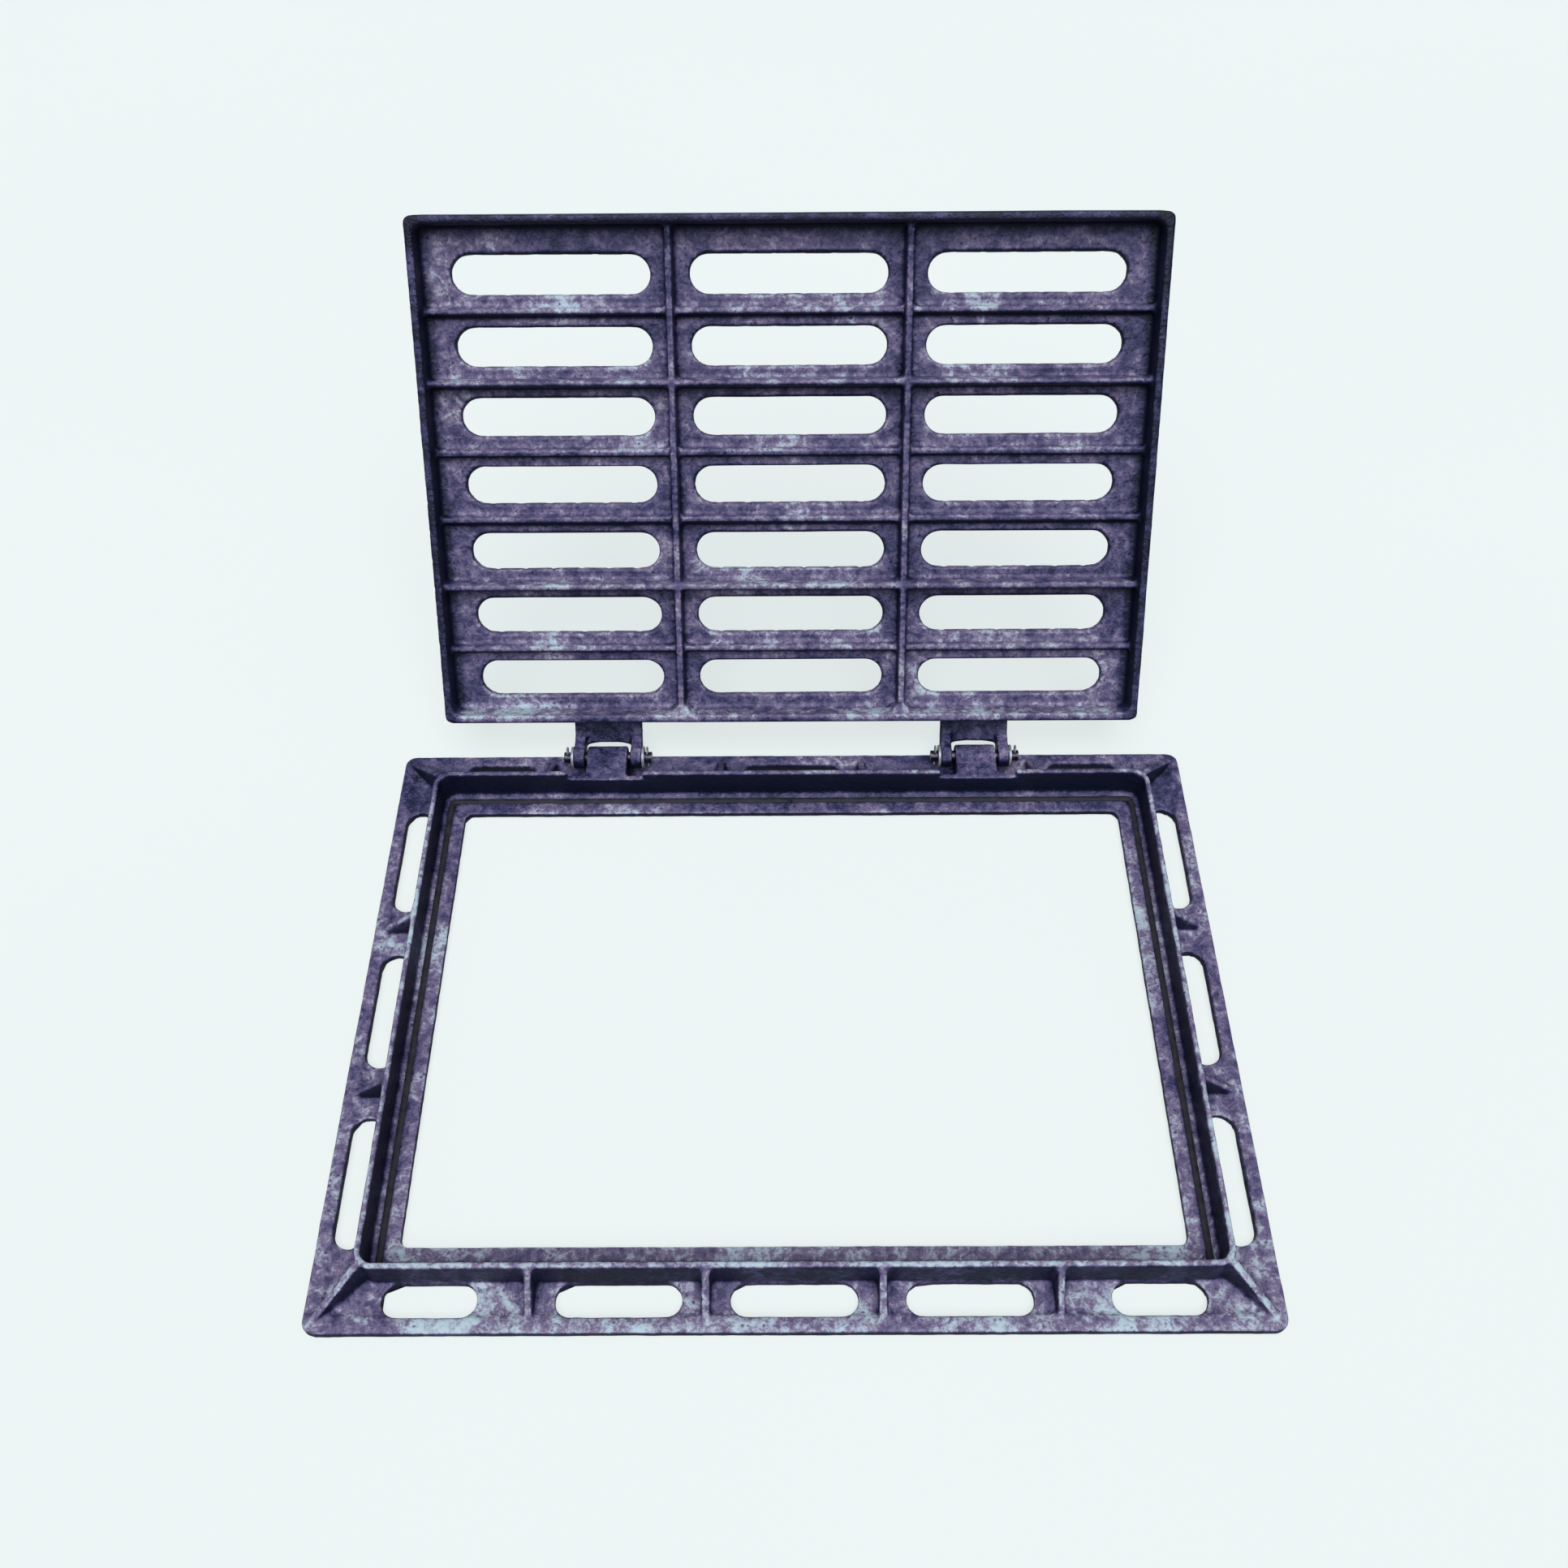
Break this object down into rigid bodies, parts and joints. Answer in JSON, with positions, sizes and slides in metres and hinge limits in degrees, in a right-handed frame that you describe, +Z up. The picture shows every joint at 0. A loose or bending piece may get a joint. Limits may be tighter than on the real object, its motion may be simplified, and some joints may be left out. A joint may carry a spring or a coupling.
{
  "type": "hinged gully grate with frame",
  "caption": "Rectangular cast-iron road gully grate, hinged to its flanged frame and standing open past upright.",
  "frame": {"origin": "centre of the clear opening, on the underside of the frame's flange", "axes": "+X along the hinge, +Y from the opening towards the hinge, +Z up"},
  "size_m": [0.856, 0.9422, 0.4967],
  "materials": {
    "frame_iron": "sand-cast, thin dark coating, worn along edges",
    "grate_iron": "sand-cast, thin dark coating, worn along edges",
    "pin_steel": "zinc-plated, dulled",
    "washer_steel": "zinc-plated, dulled",
    "cushion_rubber": "matt"
  },
  "bodies": {
    "frame_assembly": {"frame": "frame_iron", "seat_cushion": "cushion_rubber", "hinge_pin_left": "pin_steel", "washer_left_outer": "washer_steel", "split_pin_left_outer": "pin_steel", "washer_left_inner": "washer_steel", "split_pin_left_inner": "pin_steel", "hinge_pin_right": "pin_steel", "washer_right_inner": "washer_steel", "split_pin_right_inner": "pin_steel", "washer_right_outer": "washer_steel", "split_pin_right_outer": "pin_steel"},
    "grate": {"grate": "grate_iron"}
  },
  "joints": [
    {"name": "grate_hinge", "type": "hinge", "parent": "frame_assembly", "child": "grate", "pos_m": [0, 0.3, 0.026], "axis": [1, 0, 0], "range_deg": [0, 124]}
  ]
}
